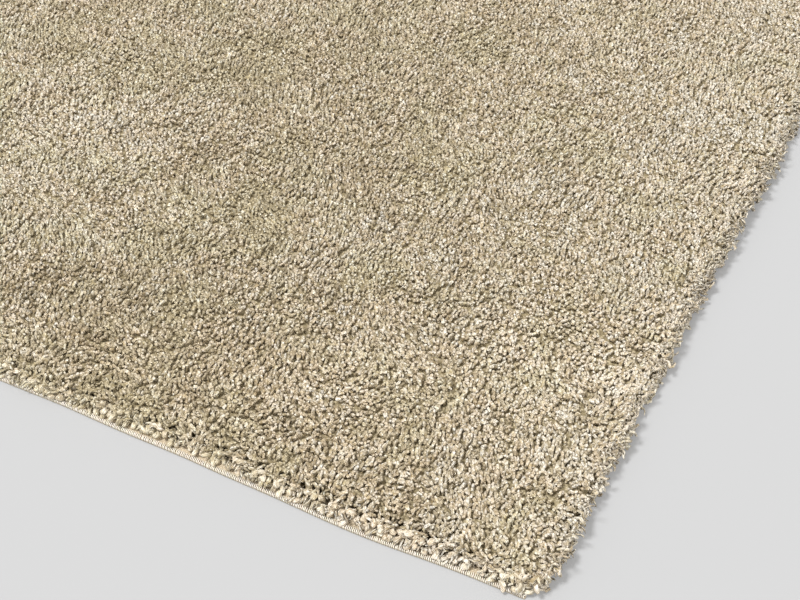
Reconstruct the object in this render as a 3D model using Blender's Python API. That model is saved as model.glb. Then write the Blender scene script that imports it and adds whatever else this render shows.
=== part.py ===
"""A deep-pile shag rug lying flat: ground cloth, pile slab with drooping rim locks, and two overlocked ends.

Metres, +Z up. X runs across the rug, Y along it. The origin is on the floor under the rug's centre.
"""

import math
import random

import bpy
from mathutils import Vector, geometry, noise

# The cloth that everything is fixed to
RUG_WIDTH = 1.200
RUG_LENGTH = 1.700
CLOTH_THICK = 0.0024
CLOTH_CORNER = 0.006
CORNER_STEPS = 3  # along the round of each corner
END_WAVE = 0.0018  # how far the two sewn ends wander in plan
END_WAVE_LENGTHS = (0.47, 0.29)
END_STATIONS = 40
GAP = 0.0003  # between pieces that touch

# The overlocked yarn along each end
EDGING_WIDTH = 0.0058
EDGING_CROWN = 0.0015  # yarn above the cloth
EDGING_NOSE = 0.0022  # yarn past the cloth's raw end
EDGING_ROUND = 0.0012
EDGING_STATIONS = 48
EDGING_SWELL = 0.00035  # how unevenly the yarn builds up
SWELL_LENGTH = 0.05
EDGING_SHORT = 0.004  # it stops this far before the cloth's corner

# The pile: a slab whose sides bulge past their foot
PILE_TOP = 0.0265  # height of its top above the floor
OVERHANG_SIDE = 0.0105  # the bulge past the cloth on the two long sides
SETBACK_END = 0.0135  # the bulge inside the cloth's raw end, so that a strip of cloth stays bare
PILE_CORNER = 0.030
BELLY_HEIGHT = 0.0095
SHOULDER_HEIGHT = 0.0195
FOOT_INSET_SIDE = 0.0155
FOOT_INSET_END = 0.0045
SHOULDER_INSET = 0.0065
SHOULDER_FOLLOW = 0.8  # how much of the belly's scallops the shoulder shares
ROLL_OFF = 0.030  # the top curves down to the shoulder over this width
RIM_CALM = 0.3  # how much of a lump's height is left at the shoulder

# Lumps in the top: (size across, height)
LUMPS = ((0.160, 0.0036), (0.085, 0.0052))
LUMP_PITCH = 0.0350  # between the points that carry them
LUMP_JITTER = 0.24  # of the pitch
LUMP_RISE = 0.0026  # how far each of them stands over or under its neighbours
TOP_MARGIN = 0.016  # from those points to the shoulder

# Scallops in the rim: (length along it, depth)
SCALLOPS = ((0.115, 0.0030), (0.052, 0.0036))

# The locks that stand out from the rim and droop
LOCK_COUNT = 288
LOCK_SHARE = 0.46  # of the rim that their roots take up
LOCK_UNEVEN = 0.13  # how far each end of a root wanders, as a share of the space between locks
LOCK_REACH = 0.0125
LOCK_LEAST = 0.35  # the shortest lock's share of that reach
LONGEST_AT = (0.10, 0.35, 0.60, 0.85)  # where round the rim the longest lock of each side stands
LOCK_ELBOW = 0.55  # where along it a lock bends down
LOCK_THIN = 0.56  # how much slimmer it is there
LOCK_SWAY = 0.0042
LOCK_LIFT = 0.0015  # the elbow's height over its root
TIP_HEIGHT_SIDE = 0.0030
TIP_HEIGHT_END = 0.0072
TIP_SCATTER = 0.0035

SEED = 41
INSIDE_ONLY = 1  # the triangulation keeps what lies inside the rim
SAME_POINT = 1e-7


def clear_scene():
    for old in list(bpy.data.objects):
        bpy.data.objects.remove(old, do_unlink=True)


def yarn_material(name, colour, roughness):
    """A matt yarn or cloth colour on a Principled shader."""
    material = bpy.data.materials.new(name)
    material.use_nodes = True
    shader = material.node_tree.nodes["Principled BSDF"]
    shader.inputs["Base Color"].default_value = (*colour, 1.0)
    shader.inputs["Roughness"].default_value = roughness
    shader.inputs["Metallic"].default_value = 0.0
    return material


def new_object(name, points, faces, material, smooth):
    mesh = bpy.data.meshes.new(name)
    mesh.from_pydata([tuple(p) for p in points], [], faces)
    mesh.validate()
    mesh.materials.append(material)
    if smooth:
        mesh.shade_smooth()
        mesh.set_sharp_from_angle(angle=math.radians(50))
    piece = bpy.data.objects.new(name, mesh)
    bpy.context.scene.collection.objects.link(piece)
    return piece


def end_line(x, end):
    """Y of the cloth's raw end at x; end is -1 for the near end and +1 for the far one."""
    wander = sum(
        math.sin(math.tau * x / length + end * phase)
        for phase, length in enumerate(END_WAVE_LENGTHS, start=1)
    )
    return end * (RUG_LENGTH / 2 - END_WAVE * (1.0 + wander / len(END_WAVE_LENGTHS)))


def cloth_outline():
    """The cut cloth seen from above, anticlockwise: wavy ends, straight selvedges, rounded corners."""
    half = RUG_WIDTH / 2
    steps = [math.pi / 2 * i / CORNER_STEPS for i in range(CORNER_STEPS)]
    corner = [(half - CLOTH_CORNER * (1 - math.cos(a)), CLOTH_CORNER * (1 - math.sin(a))) for a in steps]
    straight = half - CLOTH_CORNER
    ways = [(-x, inset) for x, inset in corner]
    ways += [(-straight + 2 * straight * i / END_STATIONS, 0.0) for i in range(END_STATIONS + 1)]
    ways += corner[::-1]
    near = [(x, end_line(x, -1) + inset) for x, inset in ways]
    far = [(x, end_line(x, 1) - inset) for x, inset in ways]
    return near + far[::-1]


def build_ground_cloth(material):
    outline = cloth_outline()
    n = len(outline)
    points = [(x, y, 0.0) for x, y in outline] + [(x, y, CLOTH_THICK) for x, y in outline]
    faces = [tuple(range(n - 1, -1, -1)), tuple(range(n, 2 * n))]
    faces += [(i, (i + 1) % n, n + (i + 1) % n, n + i) for i in range(n)]
    return new_object("ground_cloth", points, faces, material, smooth=False)


def edging_section(swell):
    """The yarn's section as (distance out from the cloth's raw end, height), from its inner foot round."""
    low = CLOTH_THICK + GAP
    top = low + EDGING_CROWN + swell
    nose = GAP + EDGING_NOSE + swell
    inner = nose - EDGING_WIDTH
    return (
        (inner, low),
        (GAP, low),
        (GAP, 0.0),
        (nose - EDGING_ROUND, 0.0),
        (nose, EDGING_ROUND),
        (nose - EDGING_ROUND / 2, top - EDGING_ROUND),
        ((inner + nose) / 2, top),
        (inner + EDGING_ROUND / 2, (low + top) / 2),
    )


def build_edging(name, end, material):
    """The overlocked yarn along one end: a rounded bead over the raw edge, swelling a little as it goes."""
    half = RUG_WIDTH / 2 - EDGING_SHORT
    points, rows = [], []
    for i in range(EDGING_STATIONS + 1):
        x = -half + 2 * half * i / EDGING_STATIONS
        base = end_line(x, end)
        section = edging_section(ripple(Vector((x, base)), ((SWELL_LENGTH, EDGING_SWELL),), SEED))
        rows.append(range(len(points), len(points) + len(section)))
        points += [(x, base + end * out, height) for out, height in section]
    faces = []
    for a, b in zip(rows, rows[1:], strict=False):
        for j in range(len(a)):
            k = (j + 1) % len(a)
            faces.append((a[j], a[k], b[k], b[j]))
    faces += [tuple(reversed(rows[0])), tuple(rows[-1])]
    if end < 0:
        faces = [tuple(reversed(face)) for face in faces]
    return new_object(name, points, faces, material, smooth=True)


def rim_walk(half_x, half_y, radius, stops):
    """Points and outward directions round a rounded rectangle at the given shares of its length."""
    straight_x, straight_y = 2 * (half_x - radius), 2 * (half_y - radius)
    quarter = math.pi * radius / 2
    legs = []
    for turn in range(4):
        heading = 90.0 * turn
        along = straight_x if turn % 2 == 0 else straight_y
        legs.append(("straight", along, heading))
        legs.append(("arc", quarter, heading))
    total = sum(length for _, length, _ in legs)
    walked = []
    for stop in stops:
        s = stop * total
        place = Vector((-half_x + radius, -half_y))
        for kind, length, heading in legs:
            ahead = Vector((math.cos(math.radians(heading)), math.sin(math.radians(heading))))
            out = Vector((ahead.y, -ahead.x))
            step = min(s, length)
            if kind == "straight":
                here, normal = place + ahead * step, out
                place = place + ahead * length
            else:
                angle = step / radius
                centre = place - out * radius
                normal = out * math.cos(angle) + ahead * math.sin(angle)
                here = centre + normal * radius
                place = centre + ahead * radius
            if s <= length:
                break
            s -= length
        walked.append((here, normal))
    return walked


def ripple(place, scales, offset):
    """The sum of smooth noises at a point: each scale is a (size across, height)."""
    return sum(
        height * noise.noise(Vector((place.x / size, place.y / size, offset + layer)))
        for layer, (size, height) in enumerate(scales)
    )


def by_side(normal, at_side, at_end):
    """A size that differs between the long sides and the ends, blended round the corners."""
    return at_side * normal.x**2 + at_end * normal.y**2


def lock_stops():
    """Where each lock's root starts and ends, as shares of the way round the rim."""
    chance = random.Random(SEED + 2)
    stops = []
    for lock in range(LOCK_COUNT):
        for side in (-1, 1):
            place = lock + 0.5 * (1.0 + side * LOCK_SHARE) + LOCK_UNEVEN * chance.uniform(-1, 1)
            stops.append(place / LOCK_COUNT)
    return stops


def pile_rings():
    """The foot, belly and shoulder of the pile's rim, as lists of points, with their outward directions."""
    half_x = RUG_WIDTH / 2 + OVERHANG_SIDE
    half_y = RUG_LENGTH / 2 - SETBACK_END
    foot, belly, shoulder, normals = [], [], [], []
    for place, normal in rim_walk(half_x, half_y, PILE_CORNER, lock_stops()):
        scallop = ripple(place, SCALLOPS, 7.0)
        out = normal.to_3d()
        ground = (place - normal * by_side(normal, FOOT_INSET_SIDE, FOOT_INSET_END)).to_3d()
        foot.append(ground + Vector((0, 0, CLOTH_THICK + GAP)))
        belly.append(place.to_3d() + out * scallop + Vector((0, 0, BELLY_HEIGHT)))
        inner = place.to_3d() + out * (SHOULDER_FOLLOW * scallop - SHOULDER_INSET)
        shoulder.append(inner + Vector((0, 0, SHOULDER_HEIGHT)))
        normals.append(out)
    return foot, belly, shoulder, normals


def lump_points(shoulder):
    """Scattered points for the top of the pile, inside the shoulder, each at its own height."""
    chance = random.Random(SEED)
    edge_x = max(p.x for p in shoulder)
    edge_y = max(p.y for p in shoulder)
    row_step = LUMP_PITCH * math.sqrt(3) / 2
    rows = int(2 * edge_y / row_step) + 1
    columns = int(2 * edge_x / LUMP_PITCH) + 2
    found = []
    for row in range(rows):
        for column in range(columns):
            jitter = Vector((chance.uniform(-1, 1), chance.uniform(-1, 1))) * LUMP_PITCH * LUMP_JITTER
            grid = Vector((LUMP_PITCH * (column + 0.5 * (row % 2)), row_step * (row + 0.5)))
            flat = grid - Vector((edge_x, edge_y)) + jitter
            room = rim_room(flat)
            if room < TOP_MARGIN:
                continue
            rise = min(1.0, room / ROLL_OFF)
            round_off = 1.0 - (1.0 - rise) ** 2
            lump = ripple(flat, LUMPS, 0.0) + LUMP_RISE * chance.uniform(-1, 1)
            height = SHOULDER_HEIGHT + (PILE_TOP - SHOULDER_HEIGHT) * round_off
            height += lump * (RIM_CALM + (1.0 - RIM_CALM) * rise)
            found.append(Vector((flat.x, flat.y, height)))
    return found


def rim_room(flat):
    """How far a point lies inside the shoulder's mean line, a rounded rectangle."""
    half_x = RUG_WIDTH / 2 + OVERHANG_SIDE - SHOULDER_INSET
    half_y = RUG_LENGTH / 2 - SETBACK_END - SHOULDER_INSET
    radius = PILE_CORNER - SHOULDER_INSET
    over_x = abs(flat.x) - (half_x - radius)
    over_y = abs(flat.y) - (half_y - radius)
    outside = math.hypot(max(over_x, 0.0), max(over_y, 0.0))
    return radius - outside - min(max(over_x, over_y), 0.0)


def top_faces(shoulder, lumps):
    """Triangles between the shoulder ring and the lump points, as numbers into both lists joined."""
    flat = [p.to_2d() for p in shoulder + lumps]
    ring = list(range(len(shoulder)))
    cut = geometry.delaunay_2d_cdt(flat, [], [ring], INSIDE_ONLY, SAME_POINT)
    faces, origins = cut[2], cut[3]
    return [tuple(origins[i][0] for i in face) for face in faces]


def lock_points(root, outward, chance, longest):
    """The elbow's four corners and the tip of one lock that grows from four root points."""
    centre = sum(root, Vector()) / 4
    along = Vector((-outward.y, outward.x, 0.0))
    share = 1.0 if longest else chance.uniform(LOCK_LEAST, 1.0)
    reach = LOCK_REACH * share
    sway = along * LOCK_SWAY * chance.uniform(-1, 1)
    elbow = centre + (outward * reach + sway) * LOCK_ELBOW
    elbow.z += LOCK_LIFT * chance.uniform(-1, 1)
    corners = [elbow + (p - centre) * LOCK_THIN for p in root]
    tip = centre + outward * reach + sway
    tip.z = by_side(outward, TIP_HEIGHT_SIDE, TIP_HEIGHT_END) + TIP_SCATTER * chance.random()
    return corners, tip


def build_pile(material):
    foot, belly, shoulder, normals = pile_rings()
    lumps = lump_points(shoulder)
    n = len(foot)
    points = foot + belly + shoulder + lumps
    faces = [tuple(range(n - 1, -1, -1))]
    faces += [tuple(2 * n + i for i in face) for face in top_faces(shoulder, lumps)]
    chance = random.Random(SEED + 1)
    longest = {round(LOCK_COUNT * share) for share in LONGEST_AT}
    for i in range(n):
        k = (i + 1) % n
        faces.append((i, k, n + k, n + i))
        root = (n + i, n + k, 2 * n + k, 2 * n + i)
        if i % 2:
            faces.append(root)
            continue
        outward = (normals[i] + normals[k]).normalized()
        corners, tip = lock_points([points[j] for j in root], outward, chance, i // 2 in longest)
        first = len(points)
        points += corners + [tip]
        for j in range(4):
            m = (j + 1) % 4
            faces.append((root[j], root[m], first + m, first + j))
            faces.append((first + j, first + m, first + 4))
    return new_object("pile", points, faces, material, smooth=True)


def build_rug():
    clear_scene()
    yarn = yarn_material("pile_yarn", (0.52, 0.44, 0.32), 0.92)
    cloth = yarn_material("jute_cloth", (0.40, 0.31, 0.20), 0.95)
    binding = yarn_material("binding_yarn", (0.62, 0.54, 0.42), 0.85)
    build_ground_cloth(cloth)
    build_pile(yarn)
    build_edging("edging_near", -1, binding)
    build_edging("edging_far", 1, binding)


build_rug()
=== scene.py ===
import math

import bpy
import numpy as np
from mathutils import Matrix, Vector


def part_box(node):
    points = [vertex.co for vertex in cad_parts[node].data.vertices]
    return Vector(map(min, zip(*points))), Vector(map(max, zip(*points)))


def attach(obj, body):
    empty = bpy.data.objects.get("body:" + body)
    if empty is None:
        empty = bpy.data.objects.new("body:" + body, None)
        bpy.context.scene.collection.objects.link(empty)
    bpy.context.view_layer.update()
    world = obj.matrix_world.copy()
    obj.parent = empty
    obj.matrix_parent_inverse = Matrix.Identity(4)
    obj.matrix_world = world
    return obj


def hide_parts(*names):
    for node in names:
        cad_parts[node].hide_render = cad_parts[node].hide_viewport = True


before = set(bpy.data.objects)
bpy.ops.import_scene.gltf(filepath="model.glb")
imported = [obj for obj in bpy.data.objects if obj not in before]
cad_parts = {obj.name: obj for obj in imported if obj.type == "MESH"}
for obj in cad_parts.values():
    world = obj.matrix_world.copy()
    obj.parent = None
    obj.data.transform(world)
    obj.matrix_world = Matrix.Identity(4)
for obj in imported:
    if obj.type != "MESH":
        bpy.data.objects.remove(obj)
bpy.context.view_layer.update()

# A deep shag rug: ground cloth, twisted yarn pile, and a whipped edging at each end.
# The cloth's edges are read from the frame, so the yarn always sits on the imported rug.
# Lengths are in metres. x runs across the rug and y along it, and the photographed end is the one at -y.
clothLow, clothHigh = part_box("ground_cloth")
rugHalfWide = (clothHigh[0] - clothLow[0]) / 2
rugHalfLong = (clothHigh[1] - clothLow[1]) / 2
clothTop = clothHigh[2]
seat = 0.0003  # the gap that touching pieces keep
floorGap = 0.0004  # the gap under yarn that lies on the floor
rollMost = 6.28  # radians: yarn ends are rolled by chance up to about a full turn

print("stage: frame read, rug", round(2 * rugHalfWide, 3), "x", round(2 * rugHalfLong, 3), "m")


def softNoise(x, y, size, seed):
    # smooth bumps about `size` across, from -1 to 1
    count, shift = 160, 3.0  # chance values each way, and what keeps every place positive
    lattice = np.random.default_rng(seed).uniform(-1, 1, (count, count))
    u = (x + shift) / size
    v = (y + shift) / size
    i = np.floor(u).astype(int)
    j = np.floor(v).astype(int)
    fu = u - i
    fv = v - j
    fu = fu * fu * (3 - 2 * fu)
    fv = fv * fv * (3 - 2 * fv)
    a = lattice[i % count, j % count]
    b = lattice[(i + 1) % count, j % count]
    c = lattice[i % count, (j + 1) % count]
    d = lattice[(i + 1) % count, (j + 1) % count]
    return (a * (1 - fu) + b * fu) * (1 - fv) + (c * (1 - fu) + d * fu) * fv


def hump(x, middle, half):
    # 1 at its middle, falling softly to 0 at half a width away
    return np.cos(np.clip((x - middle) / half, -1, 1) * math.pi / 2) ** 2


def unit(v):
    return v / np.maximum(np.linalg.norm(v, axis=-1, keepdims=True), 1e-12)


def squareTo(way, v):
    # the part of v that is square to way, at length 1
    return unit(v - (v * way).sum(1, keepdims=True) * way)


def liftOff(line, ground, clear):
    # no point of a strand's line stays lower than clear above the ground
    line[:, :, 2] = np.maximum(line[:, :, 2], ground + clear[:, None])


def gridFaces(nx, ny):
    # the squares of a grid of points, and the points along its rim in order
    index = np.arange(nx * ny).reshape(nx, ny)
    a, b, c, d = index[:-1, :-1], index[1:, :-1], index[1:, 1:], index[:-1, 1:]
    squares = np.stack([a, b, c, d], axis=-1).reshape(-1, 4)
    rim = np.concatenate([index[:, 0], index[-1, 1:], index[-2::-1, -1], index[0, -2:0:-1]])
    return squares, rim


def meshFromArrays(name, points, quads, tris, quadUv=None, triUv=None):
    # one mesh from numpy arrays, with its UV map named OFBake
    mesh = bpy.data.meshes.new(name)
    mesh.vertices.add(len(points))
    mesh.vertices.foreach_set("co", np.ascontiguousarray(points, dtype=np.float32).ravel())
    corners = np.concatenate([quads.ravel(), tris.ravel()]).astype(np.int32)
    starts = np.concatenate([np.arange(len(quads)) * 4, len(quads) * 4 + np.arange(len(tris)) * 3])
    mesh.loops.add(len(corners))
    mesh.loops.foreach_set("vertex_index", corners)
    mesh.polygons.add(len(starts))
    mesh.polygons.foreach_set("loop_start", starts.astype(np.int32))
    if quadUv is not None:
        uv = mesh.uv_layers.new(name="OFBake", do_init=False)
        flat = np.concatenate([quadUv.reshape(-1, 2), triUv.reshape(-1, 2)]).astype(np.float32)
        uv.uv.foreach_set("vector", flat.ravel())
    mesh.update(calc_edges=True)
    mesh.validate()
    mesh.shade_smooth()
    return mesh


def newPiece(name, mesh, material):
    piece = bpy.data.objects.new(name, mesh)
    bpy.context.scene.collection.objects.link(piece)
    mesh.materials.append(material)
    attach(piece, "root")
    return piece


# the yarn's UV map has a cell for each shade and version of it, and a strand's own map fills one cell
toneCount = 32
rowCount = 4
cellMargin = (0.12, 0.03)  # of a cell's width and height


def toneNumber(shade):
    # the cell of a shade, which is 0 at its darkest and 1 at its palest
    return np.clip(np.round(shade * (toneCount - 1)), 0, toneCount - 1)


def evenForm(swell, sides=3):
    # a strand's sides, its rings as shares of the way along it, and their widths
    return {"sides": sides, "shares": np.linspace(0, 1, len(swell) + 1), "swell": swell}


def strandArrays(line, size, form, roll, tone, row, flutes=None, twist=0.0):
    # tubes that taper to a point, along lines (n, rings + 1, 3)
    sides, shares, rings, n = form["sides"], np.array(form["shares"]), len(form["swell"]), len(line)
    step = unit(np.diff(line, axis=1))
    tangent = step.copy()
    tangent[:, 1:] = unit(step[:, 1:] + step[:, :-1])
    rolled = np.stack([np.cos(roll), np.sin(roll), np.full(n, 0.3)], axis=1)  # never along a strand
    across = unit(np.cross(tangent[:, 0], rolled))
    angle = 2 * math.pi * np.arange(sides) / sides
    points = np.zeros((n, rings * sides + 1, 3))
    for k, wide in enumerate(form["swell"]):
        across = squareTo(tangent[:, k], across)
        other = np.cross(tangent[:, k], across)
        spin = angle[None] + twist * shares[k]
        ring = np.cos(spin)[:, :, None] * across[:, None] + np.sin(spin)[:, :, None] * other[:, None]
        if flutes is not None:
            ring = ring * flutes[:, :, None]
        points[:, k * sides:(k + 1) * sides] = line[:, k, None] + ring * (size * wide)[:, None, None]
    points[:, -1] = line[:, -1]
    first = np.arange(n)[:, None, None] * (rings * sides + 1)

    def faces(corners):
        # one strand's faces, with a corner as its place round the strand and its ring, made into everyone's
        around, ring = np.moveaxis(np.array(corners, dtype=float), -1, 0)
        ring = ring.astype(int)
        index = np.where(ring < rings, ring * sides + around.astype(int) % sides, rings * sides)
        mapX = tone[:, None, None] + cellMargin[0] + (1 - 2 * cellMargin[0]) * around / sides
        mapY = row[:, None, None] + cellMargin[1] + (1 - 2 * cellMargin[1]) * shares[ring]
        uv = np.stack([mapX / toneCount, mapY / rowCount], axis=-1)
        return (index + first).reshape(-1, index.shape[1]), uv.reshape(-1, index.shape[1], 2)

    quads, quadUv = faces([((j, k), (j + 1, k), (j + 1, k + 1), (j, k + 1))
                           for k in range(rings - 1) for j in range(sides)])
    tips, tipUv = faces([((j, rings - 1), (j + 1, rings - 1), (j + 0.5, rings)) for j in range(sides)])
    return points.reshape(-1, 3), quads, tips, quadUv, tipUv


def strandMesh(name, parts):
    # several sets of strands in one mesh
    points, quads, tips, quadUv, tipUv = zip(*parts, strict=True)
    first = np.cumsum([0] + [len(p) for p in points[:-1]])
    quads, tips = (np.concatenate([f + k for f, k in zip(own, first, strict=True)]) for own in (quads, tips))
    uvs = np.concatenate(quadUv), np.concatenate(tipUv)
    return meshFromArrays(name, np.concatenate(points), quads, tips, *uvs)


def pileYarn(name, parts, material):
    piece = newPiece(name, strandMesh(name, parts), material)
    return piece


view = {
    "corner": (rugHalfWide, -rugHalfLong),  # the rug's near right corner, which the view is set from
    "right": 0.2553,  # metres from that corner
    "back": 0.7315,
    "height": 1.10,
    "heading": 27.31,  # degrees to the left of straight on
    "down": 43.79,
    "focalPixels": 1500.0,
    "imageWide": 800.0,
    "sensorWide": 36.0,  # millimetres
}
heading = math.radians(view["heading"])


def buildCamera():
    lens = bpy.data.cameras.new("camera")
    lens.sensor_width = view["sensorWide"]
    lens.lens = view["focalPixels"] / view["imageWide"] * lens.sensor_width
    camera = bpy.data.objects.new("camera", lens)
    bpy.context.scene.collection.objects.link(camera)
    cornerX, cornerY = view["corner"]
    camera.location = (cornerX + view["right"], cornerY - view["back"], view["height"])
    down = math.radians(view["down"])
    look = Vector((-math.sin(heading) * math.cos(down), math.cos(heading) * math.cos(down), -math.sin(down)))
    camera.rotation_euler = look.to_track_quat("-Z", "Y").to_euler()
    bpy.context.scene.camera = camera


def newMaterial(name, roughness):
    material = bpy.data.materials.new(name)
    material.use_nodes = True
    tree = material.node_tree
    shader = tree.nodes["Principled BSDF"]
    shader.inputs["Roughness"].default_value = roughness
    return material, tree, shader


def addNode(tree, kind, **values):
    node = tree.nodes.new("ShaderNode" + kind)
    for key, value in values.items():
        if hasattr(node, key):
            setattr(node, key, value)
        else:
            node.inputs[key].default_value = value
    return node


def maths(tree, operation, *values):
    node = addNode(tree, "Math", operation=operation)
    for socket, value in zip(node.inputs, values, strict=False):
        if isinstance(value, (int, float)):
            socket.default_value = value
        else:
            tree.links.new(value, socket)
    return node.outputs[0]


def ramp(tree, value, stops):
    node = addNode(tree, "ValToRGB")
    while len(node.color_ramp.elements) < len(stops):
        node.color_ramp.elements.new(0.5)
    for element, (place, colour) in zip(node.color_ramp.elements, stops, strict=True):
        element.position = place
        element.color = (*colour, 1.0)
    tree.links.new(value, node.inputs[0])
    return node.outputs[0]


def timesColour(tree, colour, other):
    mix = addNode(tree, "Mix", data_type="RGBA", blend_type="MULTIPLY")  # its colours are at 6, 7 and 2
    mix.inputs[0].default_value = 1.0
    tree.links.new(colour, mix.inputs[6])
    tree.links.new(other, mix.inputs[7])
    return mix.outputs[2]


def times(tree, a, b):
    return maths(tree, "MULTIPLY", a, b)


def plus(tree, a, b):
    return maths(tree, "ADD", a, b)


def minus(tree, a, b):
    return maths(tree, "SUBTRACT", a, b)


def crownOf(tree, cells, fall):
    # 1 at the middle of each of a texture's cells, falling to 0 between them
    return maths(tree, "MAXIMUM", minus(tree, 1.0, times(tree, cells.outputs["Distance"], fall)), 0.0)


def texture(tree, kind, place, **values):
    node = addNode(tree, kind, **values)
    tree.links.new(place, node.inputs["Vector"])
    return node


def fibreNoise(tree, place, detail, roughness):
    scale = 900.0  # fibres of the cloth and of the deep yarn, in each metre
    noise = texture(tree, "TexNoise", place, Scale=scale, Detail=detail, Roughness=roughness)
    return noise.outputs[0]


def setRelief(tree, shader, height, depth=1.0):
    bump = addNode(tree, "Bump", Strength=1.0, Distance=depth)
    tree.links.new(height, bump.inputs["Height"])
    tree.links.new(bump.outputs[0], shader.inputs["Normal"])


yarnLook = {
    "dark": (0.45, 0.376, 0.252),
    "middle": (0.730, 0.632, 0.474),
    "light": (0.995, 0.945, 0.842),
    # one tint for each version of a shade
    "tints": ((0.985, 1.0, 0.965), (1.0, 1.0, 1.0), (1.02, 0.99, 0.995), (1.0, 1.01, 1.055)),
    "paintedShadeTint": (1.07, 0.965, 0.66),  # painted shade is yellower too
    "rootPaintedShade": 0.13,  # how much painted shade darkens a strand at its root
    "rootReach": 0.75,  # how far along it that fades
    "tipPaintedShade": 0.0,  # how much painted shade darkens its tip
    "tipFrom": 0.66,  # where along it the tip begins
    "grainsAround": 3.4,  # crimps of the twisted yarn round a strand and along it
    "grainsAlong": 2.6,
    "grainSoftness": 0.25,
    "grainFall": 1.35,  # how fast a crimp falls off from its crown
    "grainDepth": 0.0032,
    "grainShades": 0.70,  # how much the crimps differ from each other
    "groovePaintedShade": 0.44,  # how much painted shade darkens the grooves between crimps
    "streaksAround": 14.0,  # loose fibres
    "streaksAlong": 9.0,
    "streakShade": 0.35,
    "streakDepth": 0.0005,
    "roughness": 0.32,
    "gloss": 1.0,
    "glossTint": (1.0, 0.93, 0.78),
    "sheen": 0.20,
    "sheenTint": (1.0, 0.86, 0.62),
    "sheenRoughness": 0.5,
}
# fat bunches show many fine crimps
bunchLook = {
    **yarnLook,
    "grainsAround": 12.0,
    "grainsAlong": 3.0,
    "streaksAround": 40.0,
    "streaksAlong": 4.0,
    "grainDepth": 0.0014,
    "groovePaintedShade": 0.26,
    "rootPaintedShade": 0.10,
}
# the edging's yarn is lighter in colour and smoother, with painted shade where a stitch turns under the cloth
bindingLook = {
    **yarnLook,
    "dark": (0.80, 0.72, 0.59),
    "middle": (0.95, 0.89, 0.79),
    "light": (1.0, 0.96, 0.88),
    "rootPaintedShade": 0.04,
    "tipPaintedShade": 0.42,
    "grainDepth": 0.0002,
    "groovePaintedShade": 0.08,
}


def stretchedMap(tree, wide, tall, around, along):
    # the strand's own map, stretched so that so many grains or streaks go round it and along it
    place = addNode(tree, "CombineXYZ")
    tree.links.new(times(tree, wide, around), place.inputs[0])
    tree.links.new(times(tree, tall, along), place.inputs[1])
    return place.outputs[0]


def yarnMaterial(name, look):
    # everything here is a function of the strand's own map
    material, tree, shader = newMaterial(name, look["roughness"])
    link = tree.links.new
    uv = addNode(tree, "UVMap", uv_map="OFBake")
    parts = addNode(tree, "SeparateXYZ")
    link(uv.outputs[0], parts.inputs[0])
    wide = times(tree, parts.outputs[0], float(toneCount))
    tall = times(tree, parts.outputs[1], float(rowCount))
    tone = maths(tree, "DIVIDE", maths(tree, "FLOOR", wide), toneCount - 1.0)
    version = maths(tree, "DIVIDE", maths(tree, "FLOOR", tall), rowCount - 1.0)
    along = maths(tree, "FRACT", tall)
    # crimps of the tightly twisted yarn, as small rounded grains
    grainMap = stretchedMap(tree, wide, tall, look["grainsAround"], look["grainsAlong"])
    grain = texture(tree, "TexVoronoi", grainMap, voronoi_dimensions="2D", feature="SMOOTH_F1",
                    Scale=1.0, Smoothness=look["grainSoftness"])
    crown = crownOf(tree, grain, look["grainFall"])
    own = addNode(tree, "SeparateXYZ")
    link(grain.outputs["Color"], own.inputs[0])
    differ = times(tree, minus(tree, own.outputs[0], 0.5), look["grainShades"])
    # loose fibres as fine streaks that run along the strand
    streakMap = stretchedMap(tree, wide, tall, look["streaksAround"], look["streaksAlong"])
    streak = texture(tree, "TexNoise", streakMap, Scale=1.0, Detail=3.0, Roughness=0.6)
    mottle = minus(tree, streak.outputs[0], 0.5)
    shade = plus(tree, tone, times(tree, mottle, look["streakShade"]))
    shade = plus(tree, shade, differ)
    colour = ramp(tree, shade, ((0.0, look["dark"]), (0.5, look["middle"]), (1.0, look["light"])))
    # painted shade: roots and grooves are darker, and tips too where the look says so
    rootPaintedShading = addNode(tree, "MapRange", interpolation_type="SMOOTHSTEP")
    link(along, rootPaintedShading.inputs["Value"])
    rootPaintedShading.inputs["From Max"].default_value = look["rootReach"]
    rootPaintedShading.inputs["To Min"].default_value = 1.0 - look["rootPaintedShade"]
    groovePaintedShading = times(tree, maths(tree, "SQRT", crown), look["groovePaintedShade"])
    groovePaintedShading = plus(tree, groovePaintedShading, 1.0 - look["groovePaintedShade"])
    paintedShading = times(tree, rootPaintedShading.outputs["Result"], groovePaintedShading)
    if look["tipPaintedShade"]:
        tip = maths(tree, "GREATER_THAN", along, look["tipFrom"])
        paintedShading = minus(tree, paintedShading, times(tree, tip, look["tipPaintedShade"]))
    half = tuple(0.5 * part for part in look["paintedShadeTint"])
    paintedShadow = ramp(tree, paintedShading, ((0.0, (0.0, 0.0, 0.0)), (0.5, half), (1.0, (1.0, 1.0, 1.0))))
    tint = ramp(tree, version, [(k / (rowCount - 1.0), tint) for k, tint in enumerate(look["tints"])])
    link(timesColour(tree, timesColour(tree, colour, paintedShadow), tint), shader.inputs["Base Color"])
    height = plus(tree, times(tree, crown, look["grainDepth"]), times(tree, mottle, look["streakDepth"]))
    setRelief(tree, shader, height)
    shader.inputs["Specular IOR Level"].default_value = look["gloss"]
    shader.inputs["Specular Tint"].default_value = (*look["glossTint"], 1.0)
    shader.inputs["Sheen Weight"].default_value = look["sheen"]
    shader.inputs["Sheen Tint"].default_value = (*look["sheenTint"], 1.0)
    shader.inputs["Sheen Roughness"].default_value = look["sheenRoughness"]
    return material


clothLook = {
    "dark": (0.43, 0.345, 0.23),
    "light": (0.70, 0.60, 0.45),
    "lightFrom": 0.9,
    "threadPitch": 0.0021,
    "threadShade": 0.45,
    "threadDepth": 0.0004,
    "fibreMiddle": 0.45,
    "fibreDepth": 0.0003,
    "roughness": 0.9,
}


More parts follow.
